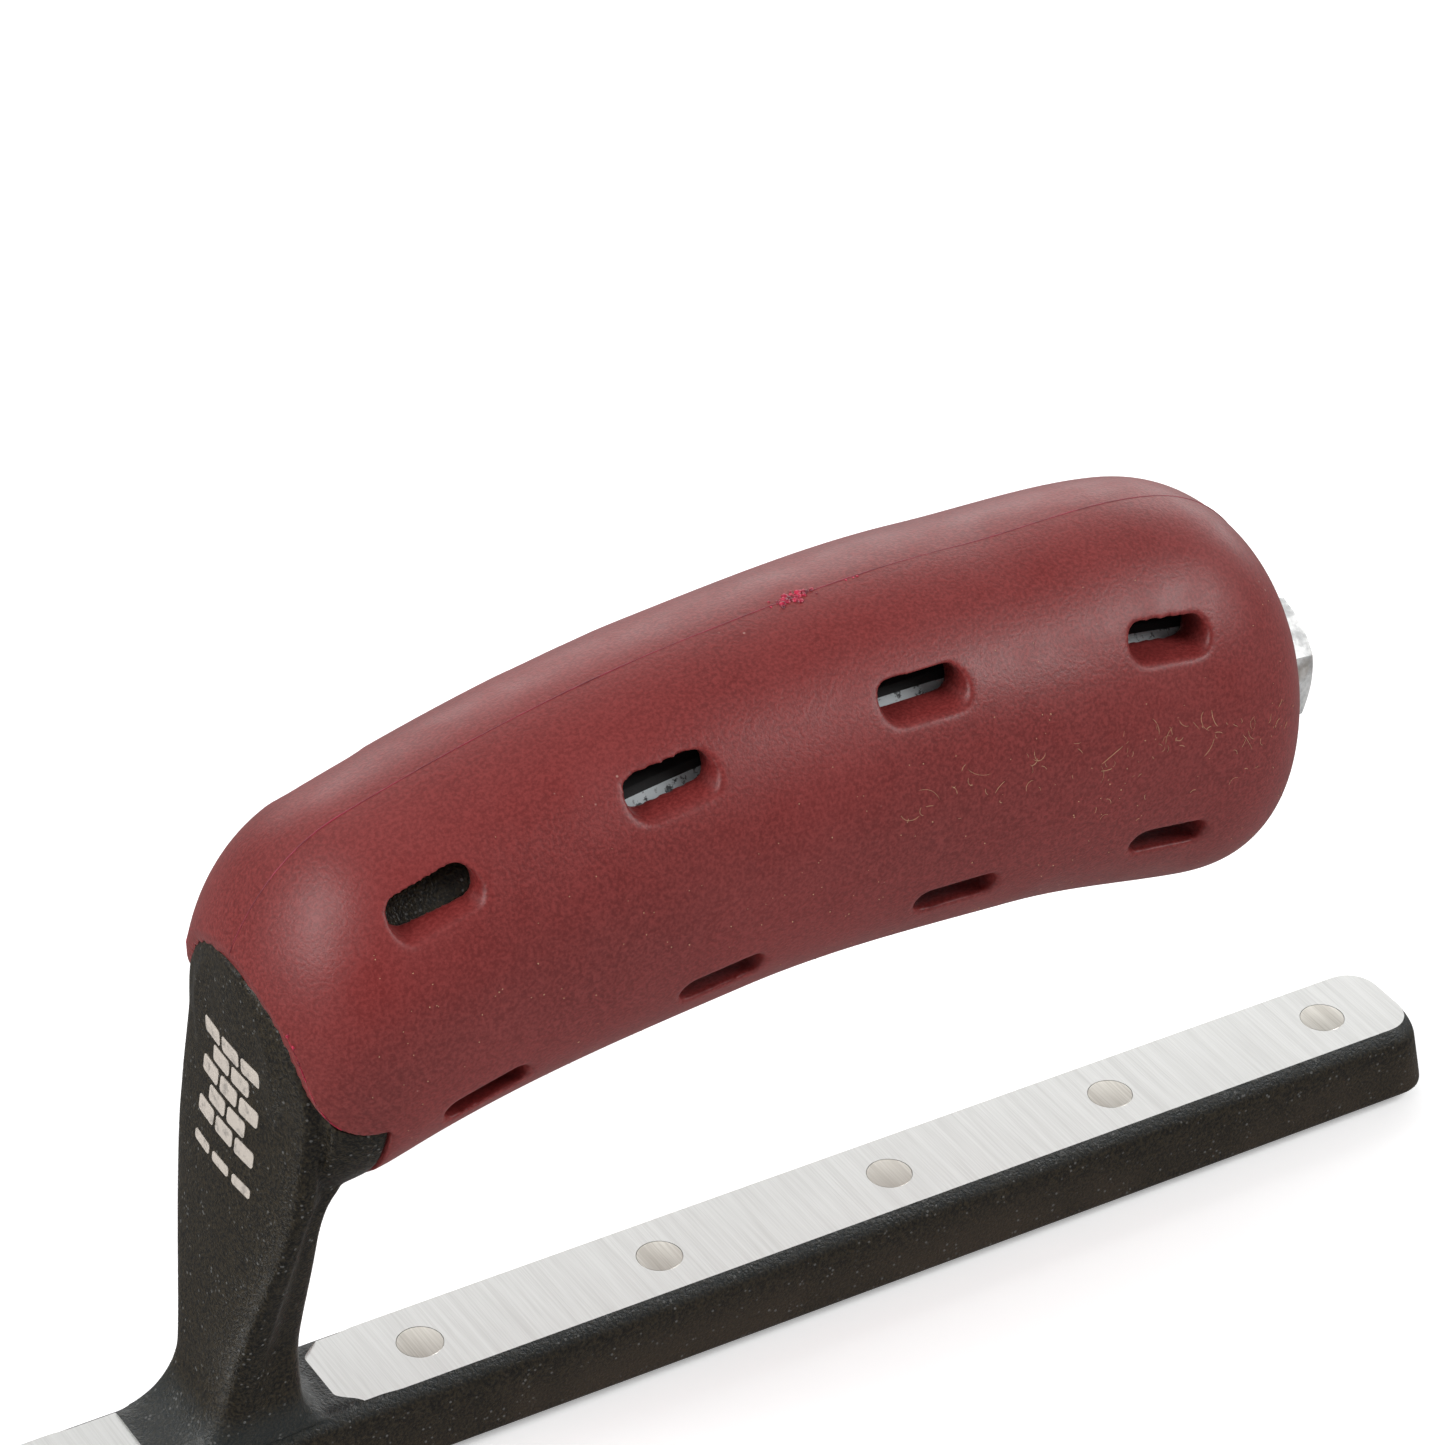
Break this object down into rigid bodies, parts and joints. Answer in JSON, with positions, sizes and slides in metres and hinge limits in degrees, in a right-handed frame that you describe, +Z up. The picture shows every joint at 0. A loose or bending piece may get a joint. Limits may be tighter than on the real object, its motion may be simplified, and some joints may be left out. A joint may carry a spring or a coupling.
{
  "type": "brick trowel",
  "caption": "Trowel handle assembly: riveted cast mounting rail with an upright shank, steel sole strip, and a slotted soft grip clamped on a hard core by a long bolt.",
  "frame": {"origin": "middle of the sole strip's underside, at the centre of the rail's length and width", "axes": "+X along the rail, from its front end under the shank towards the bolt's end; +Y across the rail; +Z up through the shank"},
  "size_m": [0.233, 0.041, 0.0924],
  "materials": {
    "casting": "black grainy coating, milled bright on the rail's top",
    "sole_steel": "brushed",
    "rivet": "milled flush",
    "core": "matte moulded",
    "grip": "matte soft-touch",
    "washer": "zinc plated",
    "bolt": "zinc plated"
  },
  "bodies": {
    "root": {"mounting_casting": "casting", "sole_strip": "sole_steel", "rivet_1": "rivet", "rivet_2": "rivet", "rivet_3": "rivet", "rivet_4": "rivet", "rivet_5": "rivet", "rivet_6": "rivet", "rivet_7": "rivet", "grip_core": "core", "grip_sleeve": "grip", "grip_washer": "washer", "grip_bolt": "bolt"}
  },
  "joints": []
}
